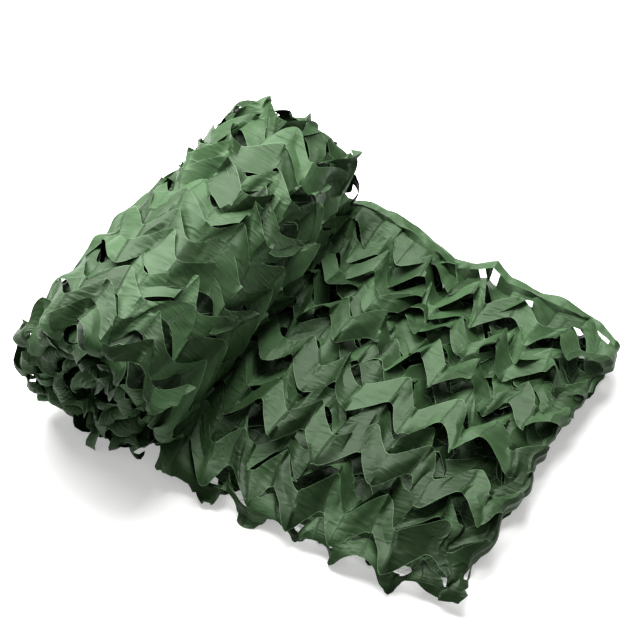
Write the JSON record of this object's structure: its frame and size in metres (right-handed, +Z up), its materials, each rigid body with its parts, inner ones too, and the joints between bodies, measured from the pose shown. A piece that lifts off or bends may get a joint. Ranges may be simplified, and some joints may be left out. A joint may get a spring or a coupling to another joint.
{
  "type": "camouflage netting",
  "caption": "Camouflage netting folded lengthwise and part rolled, its free end lying out flat.",
  "frame": {"origin": "on the floor under the middle of the whole piece", "axes": "+X from the roll to the netting's free end, +Y along the roll, +Z up"},
  "size_m": [0.7222, 0.5854, 0.2368],
  "materials": {
    "coated_polyester": "satin coated polyester leaf cloth, forest green, fine plain weave"
  },
  "bodies": {
    "root": {"leaf_cloth": "coated_polyester"}
  },
  "joints": []
}
